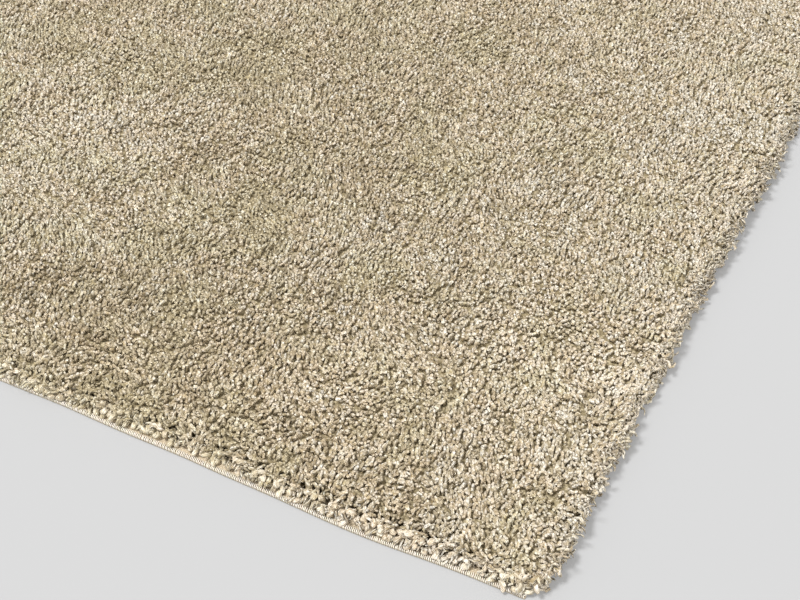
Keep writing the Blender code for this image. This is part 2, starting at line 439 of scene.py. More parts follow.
def wovenMaterial(name, look):
    material, tree, shader = newMaterial(name, look["roughness"])
    link = tree.links.new
    place = addNode(tree, "TexCoord").outputs["Object"]
    parts = addNode(tree, "SeparateXYZ")
    link(place, parts.inputs[0])
    per = math.pi / look["threadPitch"]
    a = maths(tree, "SINE", times(tree, parts.outputs[0], per))
    b = maths(tree, "SINE", times(tree, parts.outputs[1], per))
    weave = times(tree, a, b)  # over and under, square by square
    ridge = maths(tree, "MAXIMUM", maths(tree, "ABSOLUTE", a), maths(tree, "ABSOLUTE", b))
    height = plus(tree, times(tree, weave, 0.5), ridge)
    fibre = fibreNoise(tree, place, 4.0, 0.65)
    shade = plus(tree, times(tree, height, look["threadShade"]), minus(tree, fibre, look["fibreMiddle"]))
    colour = ramp(tree, shade, ((0.0, look["dark"]), (look["lightFrom"], look["light"])))
    link(colour, shader.inputs["Base Color"])
    lift = plus(tree, times(tree, height, look["threadDepth"]), times(tree, fibre, look["fibreDepth"]))
    setRelief(tree, shader, lift)
    return material


# yarn deep in the pile, coloured darker than the strands as painted shade
deepPaintedShadeLook = {
    "dark": (0.26, 0.21, 0.118),
    "darkUpTo": 0.25,
    "light": (0.67, 0.575, 0.385),
    "lightFrom": 0.85,
    "nubSize": 0.0038,
    "nubSoftness": 0.2,
    "nubFall": 1.3,
    "nubDepth": 0.0022,
    "fibreShade": 0.5,
    "fibreRise": 0.15,  # beside a nub's own
    "roughness": 0.8,
}


def deepPaintedShadeMaterial(name, look):
    # yarn deep in the pile, coloured darker as painted shade: rounded nubs with painted shade between them
    material, tree, shader = newMaterial(name, look["roughness"])
    place = addNode(tree, "TexCoord").outputs["Object"]
    nub = texture(tree, "TexVoronoi", place, feature="SMOOTH_F1", Scale=1.0 / look["nubSize"],
                  Smoothness=look["nubSoftness"])
    fibre = fibreNoise(tree, place, 3.0, 0.6)
    crown = crownOf(tree, nub, look["nubFall"])
    shade = plus(tree, crown, times(tree, minus(tree, fibre, 0.5), look["fibreShade"]))
    colour = ramp(tree, shade, ((look["darkUpTo"], look["dark"]), (look["lightFrom"], look["light"])))
    tree.links.new(colour, shader.inputs["Base Color"])
    setRelief(tree, shader, plus(tree, crown, times(tree, fibre, look["fibreRise"])), look["nubDepth"])
    return material


cloth = {
    "endWave": 0.0018,
    "waveLengths": (0.47, 0.29),
    # bows of the near end: middle, half width, reach
    "bows": ((0.440, 0.115, 0.0040), (0.330, 0.360, 0.0026), (0.170, 0.090, 0.0022)),
    "acrossSteps": 120,
    "alongSteps": 6,
    "sharpFrom": 40.0,  # degrees
}


def endLine(x, end):
    # where the cloth's raw end runs
    lengths = cloth["waveLengths"]
    wander = sum(np.sin(2 * math.pi * x / length + end * (k + 1)) for k, length in enumerate(lengths))
    reach = rugHalfLong - cloth["endWave"] * (1.0 + wander / len(lengths))
    if end < 0:
        for middle, half, out in cloth["bows"]:
            reach = reach + out * hump(x, middle, half)
    return end * reach


def buildGroundCloth(material):
    nx, ny = cloth["acrossSteps"] + 1, cloth["alongSteps"] + 1
    gx, gs = np.meshgrid(np.linspace(-rugHalfWide, rugHalfWide, nx), np.linspace(-1, 1, ny), indexing="ij")
    gy = np.where(gs < 0, -gs * endLine(gx, -1), gs * endLine(gx, 1))
    top = np.stack([gx, gy, np.full_like(gx, clothTop)], axis=-1).reshape(-1, 3)
    under = top.copy()
    under[:, 2] = 0.0
    upper, rim = gridFaces(nx, ny)
    lower = upper[:, ::-1] + len(top)
    nextOne = np.roll(rim, -1)
    walls = np.stack([rim, rim + len(top), nextOne + len(top), nextOne], axis=-1)[:, ::-1]
    quads = np.concatenate([upper, lower, walls])
    mesh = meshFromArrays("ground_cloth_woven", np.concatenate([top, under]), quads, np.zeros((0, 3), int))
    mesh.set_sharp_from_angle(angle=math.radians(cloth["sharpFrom"]))
    piece = newPiece("ground_cloth_woven", mesh, material)
    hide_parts("ground_cloth")
    return piece


pile = {
    "seed": 20,
    "top": 0.0262,  # standing height of the pile
    "lumps": ((0.150, 0.0011), (0.060, 0.0012), (0.026, 0.0008)),  # size and rise
    "sideReach": 0.0150,  # past the cloth's long edges
    "sideRound": 0.0155,
    "sideTurn": 2.15,  # radians that the pile rolls over and under
    "endSetback": 0.0105,  # the foot, inside the raw ends
    "endRound": 0.018,
    "endTurn": 1.42,
    "turnBlend": 0.35,  # how soon round a corner the pile rolls as far as at the sides
    "scallops": ((0.050, 0.0042), (0.022, 0.0028)),  # size and reach
    "scallopSeed": 60,
    "endScallops": 0.45,  # of their reach at the long sides
    # how far the near end spills over its bare strip: middle, half width, reach
    "spills": ((0.060, 0.070, 0.0035), (0.240, 0.130, -0.0036), (0.585, 0.035, 0.0040)),
    "pitch": (0.0043, 0.0048, 0.0071),  # between strands: near right corner, the view's end, past it
    "pitchBeside": 1.30,  # times as much left of the photograph's view
    "rowStep": (0.0042, 0.0047, 0.0058),  # between rows, and where along the rug it has those values
    "rowStepAt": (-rugHalfLong, 0.23, 0.5),
    "rowPoints": 161,  # where the pitch is worked out along a row
    "jitter": 0.34,  # of the pitch
    "radius": 0.50,  # of the pitch
    "radiusUneven": (0.82, 1.18),
    "shown": 0.0078,  # how much of a strand is built
    "shownUneven": (0.9, 1.15),
    "unevenTips": 0.0013,
    # strands' sides, their rings as shares of the way along, and how wide those are
    "fine": {"sides": 4, "shares": (0.0, 0.45, 0.86, 1.0), "swell": (0.8, 1.0, 0.9)},
    "plain": {"sides": 3, "shares": (0.0, 0.74, 1.0), "swell": (0.85, 1.0)},
    "fineBefore": -0.71,  # strands are fine ones nearer than this, along the view
    "fineBlend": 0.05,
    "fineSlimmer": 0.90,
    "nap": (0.0, 0.20, 0.0),  # the way that the whole pile leans
    "napCurl": 1.6,
    "flow": 0.28,  # how far strands lean with their neighbours, and how far they curl that way
    "flowCurl": 1.2,
    "flowSize": 0.045,
    "flowSeed": 31,
    "unevenLean": 0.18,
    "bend": (40.0, 115.0),  # degrees from root to tip
    "rimBend": 35.0,  # more of it at the rim
    "rootIn": 0.45,  # of a strand's drift, so that it stands about its own place
    "sunk": 0.6,  # of its radius, so that its tip lies in the pile's surface
    "loose": 0.12,  # share of the strands at the sides that stick out of the rest and hang
    "looseFrom": 0.6,  # radians over the shoulder
    "looseOut": (0.002, 0.006),
    "looseLonger": 0.6,  # of how far they stick out
    "looseHang": 0.5,
    "bands": 7,
    # the clumps that tips gather in: size, share of the way in, more of it at the rim, seed
    "clumps": ((0.024, 0.10, 0.032, 41), (0.011, 0.14, 0.08, 42)),
    "rimWidth": 0.07,
    "rimLonger": 0.12,
    "closerWidth": 0.035,  # strands stand closer this near the rim
    "rimCloser": 0.14,
    "sidePaintedLight": 0.22,  # painted light: how much lighter the long sides are where they roll over
}
flatHalfWide = rugHalfWide + pile["sideReach"] - pile["sideRound"]
flatHalfLong = rugHalfLong - pile["endSetback"] - pile["endRound"]

# the stretch of rug that the photograph's view takes in, along the view's heading and across it
seen = {
    "near": -1.03,  # the rug's near corner
    "far": -0.07,
    "farBlend": 0.25,  # how far past it the pile grows coarse
    "left": -0.55,  # the view's left edge, and how much it spreads for each metre ahead
    "leftSpread": 0.19,
    "leftBlend": 0.10,  # the pile beside the view grows coarse over this, to this far past its end
}


def pileTop(x, y):
    z = np.full_like(x, pile["top"])
    for k, (size, rise) in enumerate(pile["lumps"]):
        z += rise * softNoise(x, y, size, pile["seed"] + k)
    return z


def spillAt(x, end):
    # how far the pile reaches over the bare strip
    out = np.zeros_like(x)
    if end < 0:
        for middle, half, reach in pile["spills"]:
            out += reach * hump(x, middle, half)
    return out


def pileSkin(u, w):
    # folds a flat sheet over the pile: the top first, then over the shoulder and down the side
    overX = np.maximum(np.abs(u) - flatHalfWide, 0) * np.sign(u)
    overY = np.maximum(np.abs(w) - flatHalfLong, 0) * np.sign(w)
    over = np.hypot(overX, overY)
    outX, outY = overX / np.maximum(over, 1e-9), overY / np.maximum(over, 1e-9)
    side = outX**2  # 1 at the long sides, 0 at the ends
    radius = pile["endRound"] + (pile["sideRound"] - pile["endRound"]) * side
    turn = over / radius
    begun = np.clip(turn, 0, 1)
    x, y = u - overX, w - overY
    out = radius * np.sin(turn)
    share = pile["endScallops"] + (1 - pile["endScallops"]) * side
    for k, (size, reach) in enumerate(pile["scallops"]):
        out = out + reach * softNoise(x + overX, y + overY, size, pile["scallopSeed"] + k) * begun * share
    out = out + np.where(outY < 0, spillAt(x, -1) * begun * (1 - side), 0)
    x, y = x + outX * out, y + outY * out
    z = pileTop(x, y) - radius * (1 - np.cos(turn))
    normal = np.stack([outX * np.sin(turn), outY * np.sin(turn), np.cos(turn)], axis=-1)
    most = pile["endTurn"] + (pile["sideTurn"] - pile["endTurn"]) * np.clip(side / pile["turnBlend"], 0, 1)
    return np.stack([x, y, z], axis=-1), normal, turn, most, side


def gather(x, y, size, seed):
    # the vector from each point to the middle of its clump
    count, shift, uneven = 400, 1.5, 0.35  # clumps each way, what keeps places positive, how far off a grid
    off = np.random.default_rng(seed).uniform(-uneven, uneven, (count, count, 2))
    u, v = (x + shift) / size, (y + shift) / size
    best = np.full(x.shape, 1e9)
    toX, toY = np.zeros_like(x), np.zeros_like(y)
    for di in (-1, 0, 1):
        for dj in (-1, 0, 1):
            i, j = np.floor(u).astype(int) + di, np.floor(v).astype(int) + dj
            cx = i + 0.5 + off[i % count, j % count, 0] - u
            cy = j + 0.5 + off[i % count, j % count, 1] - v
            far = cx * cx + cy * cy
            near = far < best
            best = np.where(near, far, best)
            toX, toY = np.where(near, cx, toX), np.where(near, cy, toY)
    return toX * size, toY * size


def alongView(x, y):
    # places on the rug as the view has them: metres to the right and metres ahead
    return x * math.cos(heading) + y * math.sin(heading), y * math.cos(heading) - x * math.sin(heading)


def nearRim(x, y, width):
    # 1 at the pile's rim and 0 further in than width
    inside = np.minimum(flatHalfWide + pile["sideRound"] - x, flatHalfLong + pile["endRound"] - y)
    return np.clip(1 - inside / width, 0, 1)


def viewLeft(forward):
    return seen["left"] - seen["leftSpread"] * forward


def pitchAt(across, forward):
    # how far apart strands stand at a place in the view
    along = np.interp(forward, (seen["near"], seen["far"], seen["far"] + seen["farBlend"]), pile["pitch"])
    beside = np.clip((viewLeft(forward) - across) / seen["leftBlend"], 0, 1)
    beside = beside * (forward < seen["far"] + seen["leftBlend"])
    x = across * math.cos(heading) - forward * math.sin(heading)
    y = across * math.sin(heading) + forward * math.cos(heading)
    rim = nearRim(x, -y, pile["closerWidth"]) * (forward < seen["far"])
    return along * (1 + (pile["pitchBeside"] - 1) * beside) * (1 - pile["rimCloser"] * rim)


def scattered(halfX, halfY, rng):
    # tufted rows across the rug, closest together where the rug is nearest
    rows, w = [], -halfY
    line = np.linspace(-halfX, halfX, pile["rowPoints"])
    while w < halfY:
        rowStep = float(np.interp(w, pile["rowStepAt"], pile["rowStep"]))
        perMetre = rowStep / (pitchAt(*alongView(line, w)) ** 2 * math.sqrt(3) / 2)  # even triangles
        count = np.cumsum(perMetre) * (line[1] - line[0])
        u = np.interp(np.arange(count[0] + rng.random(), count[-1]), count, line)
        step = 1 / np.interp(u, line, perMetre)
        rows.append(np.stack([
            u + step * pile["jitter"] * rng.uniform(-1, 1, len(u)),
            w + rowStep * pile["jitter"] * rng.uniform(-1, 1, len(u)),
        ], axis=1))
        w += rowStep
    spot = np.concatenate(rows)
    return spot[:, 0], spot[:, 1]


# how the yarn's shade and tint vary over the rug
shades = {
    "middle": 0.43,
    "uneven": 0.30,  # by chance, from strand to strand
    "patches": ((0.055, 0.10, 71), (0.16, 0.06, 72)),  # size, strength and seed
    # painted light: lighter towards the right side, the left, and the left of the near end
    "rightPaintedLight": 0.32,
    "leftPaintedLight": 0.05,
    "frontPaintedLight": 0.32,  # beside that, at the left of the near end
    "nearDarker": 0.15,
    # where each of those four begins, and over how many metres it grows
    "grow": ((0.15, 0.40), (0.15, -0.25), (-0.35, -0.20), (-0.55, -0.20)),
    "tint": 1.0,
    "tintPatches": ((0.022, 1.4, 73), (0.07, 1.2, 74)),
    "tintUneven": 0.35,
}


def strandTone(x, y, rng, paintedLight=0.0, uneven=shades["uneven"]):
    # shade and tint numbers: mostly chance, with soft patches, and painted light towards the right side and
    # the near left
    patch = sum(strength * softNoise(x, y, size, seed) for size, strength, seed in shades["patches"])
    right, left, front, near = (
        np.clip((place - start) / span, 0, 1)
        for place, (start, span) in zip((x, x, y, y), shades["grow"], strict=True))
    value = shades["middle"] + patch + shades["rightPaintedLight"] * right
    value = value + (shades["leftPaintedLight"] + shades["frontPaintedLight"] * front) * left - shades["nearDarker"] * near
    value = value + paintedLight + rng.normal(0, uneven, len(x))
    tint = shades["tint"]
    for size, strength, seed in shades["tintPatches"]:
        tint = tint + strength * softNoise(x, y, size, seed)
    # the painted light at the right is cooler in tint too
    tint = tint + right + rng.normal(0, shades["tintUneven"], len(x))
    return toneNumber(value), np.clip(np.round(tint), 0, rowCount - 1)


def curledLines(way, sideways, length, bend, form):
    # strands that set off along way and curl over towards sideways, most of it near their tips
    late, shares = 1.4, form["shares"]
    line = np.zeros((len(way), len(shares), 3))
    for k in range(len(shares) - 1):
        angle = bend * (0.5 * (shares[k] + shares[k + 1])) ** late
        move = way * np.cos(angle)[:, None] + sideways * np.sin(angle)[:, None]
        line[:, k + 1] = line[:, k] + move * (length * (shares[k + 1] - shares[k]))[:, None]
    return line


def placeStrands(rng):
    # where every strand stands, and how it leans, bends and is coloured
    sideArc = pile["sideRound"] * pile["sideTurn"]
    endArc = pile["endRound"] * pile["endTurn"]
    u, w = scattered(flatHalfWide + sideArc, flatHalfLong + max(endArc, sideArc), rng)
    rim = nearRim(np.abs(u), np.abs(w), pile["rimWidth"])
    pulledU, pulledW = u, w
    for clump, pull, more, seed in pile["clumps"]:
        toX, toY = gather(u, w, clump, seed)
        pulledU = pulledU + (pull + more * rim) * toX
        pulledW = pulledW + (pull + more * rim) * toY
    skin, normal, turn, most, side = pileSkin(pulledU, pulledW)
    keep = turn <= most
    u, w, skin, normal, turn, rim, side = (a[keep] for a in (u, w, skin, normal, turn, rim, side))
    n = len(u)
    across, forward = alongView(u, w)
    nap = np.array(pile["nap"])
    # each strand sets off along the skin's normal, leaning a little, and curls over at its tip
    flowX, flowY = (softNoise(u, w, pile["flowSize"], pile["flowSeed"] + k) for k in (0, 1))
    flow = np.stack([flowX, flowY, np.zeros(n)], axis=1)
    lean = pile["flow"] * flow + pile["unevenLean"] * rng.normal(0, 1, (n, 3)) + nap
    way = unit(normal + lean)
    sideways = squareTo(way, rng.normal(0, 1, (n, 3)) + pile["flowCurl"] * flow + pile["napCurl"] * nap)
    bend = np.radians(rng.uniform(*pile["bend"], n) + pile["rimBend"] * rim)
    length = pile["shown"] * rng.uniform(*pile["shownUneven"], n) * (1 + pile["rimLonger"] * rim)
    tone, row = strandTone(u, w, rng, pile["sidePaintedLight"] * side * np.clip(turn, 0, 1))
    roll = rng.uniform(0, 2 * math.pi, n)
    size = pitchAt(across, forward) * pile["radius"] * rng.uniform(*pile["radiusUneven"], n)
    uneven = pile["unevenTips"] * rng.uniform(-1, 1, n)
    loose = (turn > pile["looseFrom"]) & (rng.random(n) < pile["loose"])
    stick = np.where(loose, rng.uniform(*pile["looseOut"], n), 0.0)
    fine = forward + pile["fineBlend"] * rng.uniform(-1, 1, n) < pile["fineBefore"]
    fine &= across > viewLeft(forward)
    size = size * np.where(fine, pile["fineSlimmer"], 1.0)
    return dict(w=w, skin=skin, normal=normal, way=way, sideways=sideways, bend=bend, length=length,
                tone=tone, row=row, roll=roll, size=size, uneven=uneven, stick=stick, fine=fine)


def shapeStrands(strands, kind):
    # strands of one kind as lines, with their tips brought to the pile's surface
    normal, size, stick = strands["normal"], strands["size"], strands["stick"]
    length = strands["length"] + pile["looseLonger"] * stick
    line = curledLines(strands["way"], strands["sideways"], length, strands["bend"], kind)
    height = (line * normal[:, None]).sum(-1)
    line -= (height.max(axis=1) + pile["sunk"] * size)[:, None, None] * normal[:, None]
    drift = line[:, -1] - (line[:, -1] * normal).sum(-1, keepdims=True) * normal
    line -= pile["rootIn"] * drift[:, None]
    line += (strands["skin"] + (strands["uneven"] + stick)[:, None] * normal)[:, None]
    line[:, :, 2] -= stick[:, None] * pile["looseHang"] * np.array(kind["shares"]) ** 2
    liftOff(line, floorGap, 1.1 * size)
    return line


def buildPile(material):
    # the strands in bands across the rug, each with about the same number of triangles
    strands = placeStrands(np.random.default_rng(pile["seed"]))
    w = strands["w"]
    kinds = (pile["fine"], strands["fine"]), (pile["plain"], ~strands["fine"])
    weight = sum(own * kind["sides"] * (2 * len(kind["swell"]) - 1) for kind, own in kinds)
    order = np.argsort(w)
    level = np.cumsum(weight[order]) / weight.sum()
    cuts = [w[order][np.searchsorted(level, (b + 1) / pile["bands"])] for b in range(pile["bands"] - 1)]
    band = np.searchsorted(cuts, w, side="right")
    shaped = []
    for kind, own in kinds:
        some = {key: value[own] for key, value in strands.items()}
        shaped.append((kind, band[own], shapeStrands(some, kind), some))
    made = []
    for b in range(pile["bands"]):
        sets = []
        for kind, bandOf, line, some in shaped:
            own = bandOf == b
            if own.any():
                size, roll, tone, row = (some[key][own] for key in ("size", "roll", "tone", "row"))
                sets.append(strandArrays(line[own], size, kind, roll, tone, row))
        made.append(pileYarn(f"pile_band_{b + 1}", sets, material))
    print("stage: pile,", len(w), "strands")
    return made


endRows = {
    "seed": 300,
    # foot inside the raw end, standing height, degrees of lean outward at the near end and at the far end
    "rows": ((0.0098, 0.0090, 22, 40), (0.0120, 0.0125, 18, 36), (0.0142, 0.0155, 14, 32)),
    "form": {"sides": 3, "shares": (0.0, 0.36, 0.68, 0.94, 1.0), "swell": (0.8, 1.0, 1.05, 0.9)},
    "sideMargin": 0.002,
    "placeUneven": 0.0006,
    "leanUneven": 5.0,
    "leanMost": (-0.9, 1.1),  # radians inward and outward
    "pitch": (0.0042, 0.0080),  # at the near end and at the far end
    "radius": (0.0012, 0.0017),
    "radiusUneven": (0.8, 1.2),
    "longer": 1.35,  # than it stands high, since a strand bends over
    "lengthUneven": (0.92, 1.12),
    "rootUp": 0.001,
    "bendUneven": 18.0,
    # painted light: the end rows are made lighter
    "paintedLight": 0.26,
    "footPaintedLight": 0.12,  # the lowest row gets more painted light still
    "toneUneven": 0.14,
}
# the tufts that neighbours in the end rows gather in
tufts = {
    "width": 0.013,
    "widthUneven": 0.3,
    "lean": 17.0,  # degrees that whole tufts lean one way or another
    "foot": 0.0018,
    "tall": (0.80, 1.12),
    "comb": 0.6,  # how far they turn aside from straight outward
    "combUneven": 0.3,
    "bend": (70.0, 150.0),
    "tone": 0.10,
    "pull": 0.34,
}


def drawTufts(rng):
    count = int(2 * rugHalfWide / tufts["width"]) + 2
    off = rng.uniform(-tufts["widthUneven"], tufts["widthUneven"], count)
    out, along = rng.normal(0, tufts["lean"], (2, count))
    return {
        "middle": tufts["width"] * (np.arange(count) + off) - rugHalfWide,
        "out": out,
        "along": along,
        "foot": rng.normal(0, tufts["foot"], count),
        "tall": rng.uniform(*tufts["tall"], count),
        "turn": rng.normal(0, tufts["comb"], count),
        "bend": rng.uniform(*tufts["bend"], count),
        "tone": rng.normal(0, tufts["tone"], count),
    }


def overEnd(turned, end, way):
    # the way that yarn at an end curls: outward, turned aside, and a little down
    down = np.full(len(turned), -0.3)
    return squareTo(way, np.stack([np.sin(turned), end * np.cos(turned), down], axis=1))


def buildEndRows(end, material):
    # the last rows at a raw end stand in full view, from the cloth to their tips, in uneven tufts
    rng = np.random.default_rng(endRows["seed"] + end)
    which = 0 if end < 0 else 1
    sets = []
    for k, (setback, tall, *leans) in enumerate(endRows["rows"]):
        if k % 2 == 0:  # two rows share their tufts
            drawn = drawTufts(rng)
        reach = rugHalfWide - endRows["sideMargin"]
        x = np.arange(-reach, reach, endRows["pitch"][which])
        n = len(x)
        x = x + rng.normal(0, endRows["placeUneven"], n)
        nearest = np.abs(x[:, None] - drawn["middle"][None]).argmin(axis=1)
        tuft = {key: value[nearest] for key, value in drawn.items()}
        foot = np.abs(endLine(x, end)) - setback + spillAt(x, end) + tuft["foot"]
        foot = foot + rng.normal(0, endRows["placeUneven"], n)
        out = np.radians(leans[which] + rng.normal(0, endRows["leanUneven"], n) + tuft["out"])
        along = np.radians(rng.normal(0, endRows["leanUneven"], n) + tuft["along"])
        out = np.clip(out, *endRows["leanMost"])
        way = unit(np.stack([np.tan(along), end * np.tan(out), np.ones(n)], axis=1))
        sideways = overEnd(tuft["turn"] + rng.normal(0, tufts["combUneven"], n), end, way)
        bend = np.radians(tuft["bend"] + rng.normal(0, endRows["bendUneven"], n))
        length = endRows["longer"] * (tall - clothTop) * tuft["tall"]
        length = length * rng.uniform(*endRows["lengthUneven"], n)
        line = curledLines(way, sideways, length, bend, endRows["form"])
        line[:, :, 0] += (tufts["pull"] * (tuft["middle"] - x))[:, None] * np.array(endRows["form"]["shares"])
        line += np.stack([x, end * foot, np.full(n, clothTop + endRows["rootUp"])], axis=1)[:, None]
        size = endRows["radius"][which] * rng.uniform(*endRows["radiusUneven"], n)
        liftOff(line[:, 1:], clothTop, size)
        # painted light, more on the lowest row, plus the tuft's own tone by chance
        paintedLight = endRows["paintedLight"] + endRows["footPaintedLight"] * (k == 0) + tuft["tone"]
        tone, row = strandTone(x, end * foot, rng, paintedLight, endRows["toneUneven"])
        sets.append(strandArrays(line, size, endRows["form"], rng.uniform(0, rollMost, n), tone, row))
    return pileYarn(("pile_near_rows", "pile_far_rows")[which], sets, material)


bunches = {
    "seed": 500,
    # rows of yarn bunches at the rug's ends: foot inside the raw end, height of their middle, lean outward
    "rows": ((0.0112, 0.0068, 26), (0.0132, 0.0098, 20), (0.0156, 0.0128, 14)),
    "form": {"sides": 8, "shares": (0.0, 0.35, 0.68, 0.92, 1.0), "swell": (0.80, 1.0, 1.0, 0.72)},
    "sideMargins": (0.006, 0.004),
    "pitch": (0.0072, 0.0130),  # at the near end and at the far end
    "jitter": 0.4,  # of the pitch
    "footUneven": 0.0016,
    "leanAside": 0.35,
    "leanUneven": 14.0,  # degrees
    "radius": (0.0020, 0.0033),
    "length": (0.010, 0.016),
    "bend": (50.0, 140.0),
    "comb": 0.8,  # how far they turn aside from straight outward
    # painted light: the bunches are made lighter
    "paintedLight": 0.20,
    "lastTint": 2,  # bunches leave the coolest tint to the single ends
    "flute": 0.17,  # how deep the grooves between a bunch's plies are
    "fluteUneven": 0.08,
    "twist": (-2.2, 2.2),  # radians from root to tip
}


def pliedArrays(line, size, form, tone, row, rng):
    # thick yarn with a twisted section: every other corner stands out
    n, sides = len(line), form["sides"]
    roll = rng.uniform(0, rollMost, n)
    plies = bunches["flute"] * np.where(np.arange(sides) % 2, 1.0, -1.0)
    flutes = 1 + plies + rng.normal(0, bunches["fluteUneven"], (n, sides))
    return strandArrays(line, size, form, roll, tone, row, flutes, rng.uniform(*bunches["twist"], (n, 1)))


def buildBunches(end, material):
    # fat uneven bunches of yarn that fill the rug's ends between the single strands
    rng = np.random.default_rng(bunches["seed"] + end)
    which = 0 if end < 0 else 1
    pitch, form = bunches["pitch"][which], bunches["form"]
    first, last = bunches["sideMargins"]
    sets = []
    for setback, tall, lean in bunches["rows"]:
        x = np.arange(-rugHalfWide + first, rugHalfWide - last, pitch)
        n = len(x)
        x = x + rng.uniform(-bunches["jitter"], bunches["jitter"], n) * pitch
        foot = np.abs(endLine(x, end)) - setback + spillAt(x, end) + rng.normal(0, bunches["footUneven"], n)
        aside = rng.normal(0, bunches["leanAside"], n)
        out = end * np.tan(np.radians(lean + rng.normal(0, bunches["leanUneven"], n)))
        way = unit(np.stack([aside, out, np.ones(n)], axis=1))
        sideways = overEnd(rng.normal(0, bunches["comb"], n), end, way)
        length = rng.uniform(*bunches["length"], n)
        bend = np.radians(rng.uniform(*bunches["bend"], n))
        line = curledLines(way, sideways, length, bend, form)
        line += np.stack([x, end * foot, tall - 0.5 * length], axis=1)[:, None]
        size = rng.uniform(*bunches["radius"], n)
        liftOff(line, clothTop, size)
        tone, row = strandTone(x, end * foot, rng, bunches["paintedLight"], endRows["toneUneven"])
        row = np.minimum(row, bunches["lastTint"])
        sets.append(pliedArrays(line, size, form, tone, row, rng))
    return pileYarn(("pile_near_bunches", "pile_far_bunches")[which], sets, material)


# single ends that stand out from the two long sides
strays = {
    "seed": 7,
    "perSide": (220, 760),  # along the left side and along the right side
    "turn": (0.5, 2.0),  # radians over the shoulder
    "rootIn": 0.003,
    "wayUneven": 0.6,
    "length": (0.008, 0.016),
    "curl": (140.0, 380.0),  # degrees from root to tip
    "radius": (0.0008, 0.0015),
    "form": evenForm((1.0, 1.0, 1.0, 1.0, 0.85)),
    "shade": (0.82, 0.14),  # mean and spread
    "tints": (1.0, 2.0, 2.0, 3.0),
}
# thick locks that hang over the four corners
cornerLocks = {
    "counts": (18, 46),  # over a corner out of view, and over the near right corner
    "rootX": (0.0, 0.016),  # inside the cloth's long edge
    "rootY": (0.004, 0.034),  # inside its end
    "rootUp": (0.002, 0.015),
    "wayX": (0.5, 1.3),  # outward over the long edge
    "wayY": (-0.4, 0.5),  # outward over the end
    "wayUp": (-0.1, 0.45),
    "length": (0.015, 0.026),
    "curl": (240.0, 480.0),
    "tip": 0.3,  # of a step, so that they end bluntly
    "insideEnd": 0.001,
    "radius": (0.0015, 0.0023),
    "form": evenForm((0.9, 1.0, 1.0, 1.0, 1.0, 1.0, 0.8), sides=8),
}


def curlyLines(kind, start, way, rng):
    # loose ends that wind as they go, round an axis that leans towards where they set off
    n, steps, leaning = len(start), len(kind["form"]["swell"]), 0.5
    step = rng.uniform(*kind["length"], n)[:, None] / steps
    turn = np.radians(rng.uniform(*kind["curl"], n))[:, None] / steps
    axis = unit(rng.normal(0, 1, (n, 3)) + leaning * way)
    line = np.zeros((n, steps + 1, 3))
    line[:, 0] = start
    for k in range(steps):
        line[:, k + 1] = line[:, k] + way * step
        kept = axis * (axis * way).sum(1, keepdims=True) * (1 - np.cos(turn))
        way = way * np.cos(turn) + np.cross(axis, way) * np.sin(turn) + kept
    return line


def strayTone(n, rng):
    return toneNumber(rng.normal(*strays["shade"], n)), rng.choice(strays["tints"], n)


def sideStrays(side, n, rng):
    w = rng.uniform(-flatHalfLong, flatHalfLong, n)
    turn = rng.uniform(*strays["turn"], n)
    skin, normal, *_ = pileSkin(side * (flatHalfWide + pile["sideRound"] * turn), w)
    way = unit(normal + strays["wayUneven"] * rng.normal(0, 1, (n, 3)))
    line = curlyLines(strays, skin - strays["rootIn"] * normal, way, rng)
    size = rng.uniform(*strays["radius"], n)
    liftOff(line, floorGap, 1.1 * size)
    tone, row = strayTone(n, rng)
    return strandArrays(line, size, strays["form"], rng.uniform(0, rollMost, n), tone, row)


def cornerArrays(side, end, rng):
    n = cornerLocks["counts"][1 if (side, end) == (1, -1) else 0]
    rootX = rugHalfWide - rng.uniform(*cornerLocks["rootX"], n)
    rootY = rugHalfLong - rng.uniform(*cornerLocks["rootY"], n)
    start = np.stack([side * rootX, end * rootY, clothTop + rng.uniform(*cornerLocks["rootUp"], n)], axis=1)
    wayX, wayY, wayUp = (rng.uniform(*cornerLocks[key], n) for key in ("wayX", "wayY", "wayUp"))
    way = unit(np.stack([side * wayX, end * wayY, wayUp], axis=1))
    line = curlyLines(cornerLocks, start, way, rng)
    line[:, -1] = line[:, -2] + cornerLocks["tip"] * (line[:, -1] - line[:, -2])
    size = rng.uniform(*cornerLocks["radius"], n)
    # they hang no further out than the pile, and none hangs past the raw end
    line[:, :, 0] = side * np.minimum(side * line[:, :, 0], rugHalfWide + pile["sideReach"])
    line[:, :, 1] = end * np.minimum(end * line[:, :, 1], rugHalfLong - cornerLocks["insideEnd"])
    overCloth = side * line[:, :, 0] < rugHalfWide + 0.0005
    liftOff(line, np.where(overCloth, clothTop, floorGap), 1.1 * size)
    tone, row = strayTone(n, rng)
    return pliedArrays(line, size, cornerLocks["form"], tone, row, rng)


def buildStrays(material):
    rng = np.random.default_rng(strays["seed"])
    sets = [sideStrays(side, n, rng) for side, n in zip((-1, 1), strays["perSide"], strict=True)]
    sets += [cornerArrays(side, end, rng) for side in (-1, 1) for end in (-1, 1)]
    return pileYarn("pile_stray_ends", sets, material)


bed = {
    "step": 0.022,
    "depth": 0.0064,
    "sideSpan": 1.5,  # of the pile's roundings, how far over them it reaches
    "endSpan": 0.85,
    "sidePoints": 5,  # across each rounding
    "endPoints": 4,
    "thinnest": 0.001,
}


def bedLine(flat, span, points):
    # grid lines across the rug, with more of them at the roundings
    steps = int(2 * span / bed["step"])
    return np.unique(np.concatenate([
        np.linspace(-span, span, steps + 1),
        np.linspace(-span, -flat, points),
        np.linspace(flat, span, points),
    ]))


